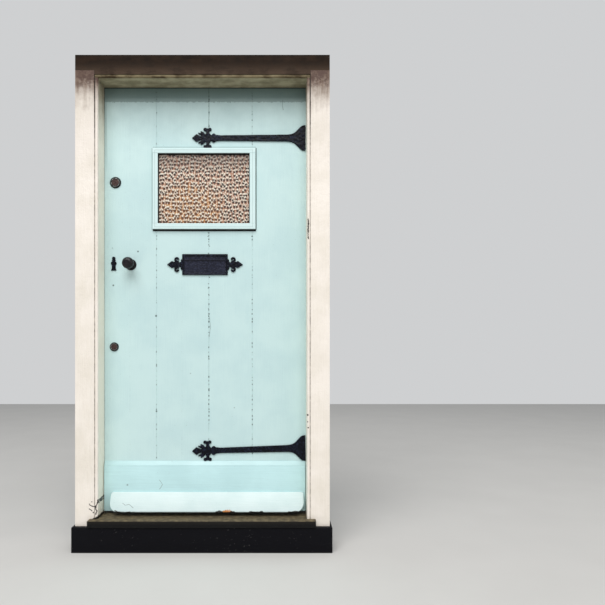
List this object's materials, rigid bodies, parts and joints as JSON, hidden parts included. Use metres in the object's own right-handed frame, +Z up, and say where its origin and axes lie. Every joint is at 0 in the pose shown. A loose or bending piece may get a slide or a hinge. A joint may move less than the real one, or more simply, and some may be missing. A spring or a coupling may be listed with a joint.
{
  "type": "boarded cottage door with frame",
  "caption": "Boarded cottage door in its rebated frame, opening inwards, with a small obscured window, dummy strap hinges, letter plate, locks and sill.",
  "frame": {"origin": "under the middle of the base beam, in the plane of the frame's front face", "axes": "+X to the right seen from the street, +Y into the house, +Z up"},
  "size_m": [1.024, 0.2475, 1.962],
  "materials": {
    "door_paint": "brushed oil paint, pale aqua, satin",
    "frame_paint": "oil paint, cream, thick and grimy at the top",
    "sill_paint": "worn dark paint, olive brown on top",
    "plinth_paint": "black paint, satin",
    "ironwork": "hammered, thick black paint",
    "steel": "dull steel",
    "lock_enamel": "black japanned",
    "dark_bronze": "dark bronzed, glossy",
    "tarnished_brass": "dull, reddish brown",
    "obscured_glass": "patterned obscured glass"
  },
  "bodies": {
    "frame": {"base_beam": "plinth_paint", "sill": "sill_paint", "jamb_left": "frame_paint", "jamb_right": "frame_paint", "head": "frame_paint", "jamb_hinge_flaps": "steel", "hinge_pins": "steel", "frame_screws": "steel", "rim_lock_keeper": "lock_enamel", "night_latch_keeper": "lock_enamel", "lower_lock_keeper": "lock_enamel"},
    "leaf": {"lock_side_board": "door_paint", "hinge_side_board": "door_paint", "upper_middle_board_left": "door_paint", "upper_middle_board_right": "door_paint", "lower_middle_board_left": "door_paint", "lower_middle_board_right": "door_paint", "lock_stile": "door_paint", "hinge_stile": "door_paint", "top_rail": "door_paint", "ledge_over_window": "door_paint", "lock_rail": "door_paint", "bottom_rail": "door_paint", "brace": "door_paint", "leaf_hinge_screws": "steel", "lock_case_screws": "steel", "window_lining": "door_paint", "glass_pane": "obscured_glass", "glazing_beads": "door_paint", "window_trim_rails": "door_paint", "window_trim_sides": "door_paint", "kick_rail": "door_paint", "weatherboard": "door_paint", "upper_hinge_front": "ironwork", "lower_hinge_front": "ironwork", "letter_plate": "ironwork", "letter_flap_pin": "ironwork", "letter_plate_studs": "steel", "escutcheon": "ironwork", "outer_rose": "dark_bronze", "night_latch_ring": "tarnished_brass", "night_latch_cylinder": "tarnished_brass", "lower_lock_ring": "tarnished_brass", "lower_lock_cylinder": "tarnished_brass", "rim_lock_case": "lock_enamel", "night_latch_case": "lock_enamel", "lower_lock_case": "lock_enamel", "leaf_hinge_flaps": "steel"},
    "letter_flap": {"letter_flap": "ironwork"},
    "keyhole_cover": {"keyhole_cover": "ironwork"},
    "knobs": {"door_knobs": "dark_bronze", "knob_spindle": "steel"},
    "rim_latch": {"rim_latch": "steel"},
    "rim_dead_bolt": {"rim_dead_bolt": "steel"},
    "night_turn": {"night_turn": "tarnished_brass"},
    "night_latch_bolt": {"night_latch_bolt": "steel"},
    "night_latch_plug": {"night_latch_plug": "tarnished_brass"},
    "lower_lock_plug": {"lower_lock_plug": "tarnished_brass"},
    "lower_dead_bolt": {"lower_dead_bolt": "steel"}
  },
  "joints": [
    {"name": "door_swing", "type": "hinge", "parent": "frame", "child": "leaf", "pos_m": [0.42475, 0.142, 1.028], "axis": [0, 0, -1], "range_deg": [0, 100]},
    {"name": "letter_flap_hinge", "type": "hinge", "parent": "leaf", "child": "letter_flap", "pos_m": [0, 0.081, 1.1635], "axis": [1, 0, 0], "range_deg": [0, 75], "stiffness_Nm_per_rad": 0.05, "springref_deg": -20.05},
    {"name": "keyhole_cover_pivot", "type": "hinge", "parent": "leaf", "child": "keyhole_cover", "pos_m": [-0.374, 0.0755, 1.1604], "axis": [0, 1, 0], "range_deg": [-110, 110]},
    {"name": "knob_turn", "type": "hinge", "parent": "leaf", "child": "knobs", "pos_m": [-0.304, 0.05, 1.146], "axis": [0, -1, 0], "range_deg": [0, 45]},
    {"name": "rim_latch_slide", "type": "slide", "parent": "leaf", "child": "rim_latch", "axis": [-1, 0, 0], "range_m": [0, 0.014]},
    {"name": "rim_dead_bolt_slide", "type": "slide", "parent": "leaf", "child": "rim_dead_bolt", "axis": [-1, 0, 0], "range_m": [0, 0.014]},
    {"name": "night_turn_pivot", "type": "hinge", "parent": "leaf", "child": "night_turn", "pos_m": [-0.367, 0.15, 1.482], "axis": [0, -1, 0], "range_deg": [0, 70]},
    {"name": "night_latch_slide", "type": "slide", "parent": "leaf", "child": "night_latch_bolt", "axis": [-1, 0, 0], "range_m": [0, 0.012]},
    {"name": "night_plug_turn", "type": "hinge", "parent": "leaf", "child": "night_latch_plug", "pos_m": [-0.367, 0.08, 1.482], "axis": [0, 1, 0], "range_deg": [-90, 90]},
    {"name": "lower_plug_turn", "type": "hinge", "parent": "leaf", "child": "lower_lock_plug", "pos_m": [-0.372, 0.08, 0.809], "axis": [0, 1, 0], "range_deg": [-90, 90]},
    {"name": "lower_dead_bolt_slide", "type": "slide", "parent": "leaf", "child": "lower_dead_bolt", "axis": [-1, 0, 0], "range_m": [0, 0.014]}
  ],
  "couplings": [
    {"joint": "rim_latch_slide", "follows": "knob_turn", "m_per_rad": 0.017825},
    {"joint": "night_turn_pivot", "follows": "night_latch_slide", "rad_per_m": 101.81}
  ]
}
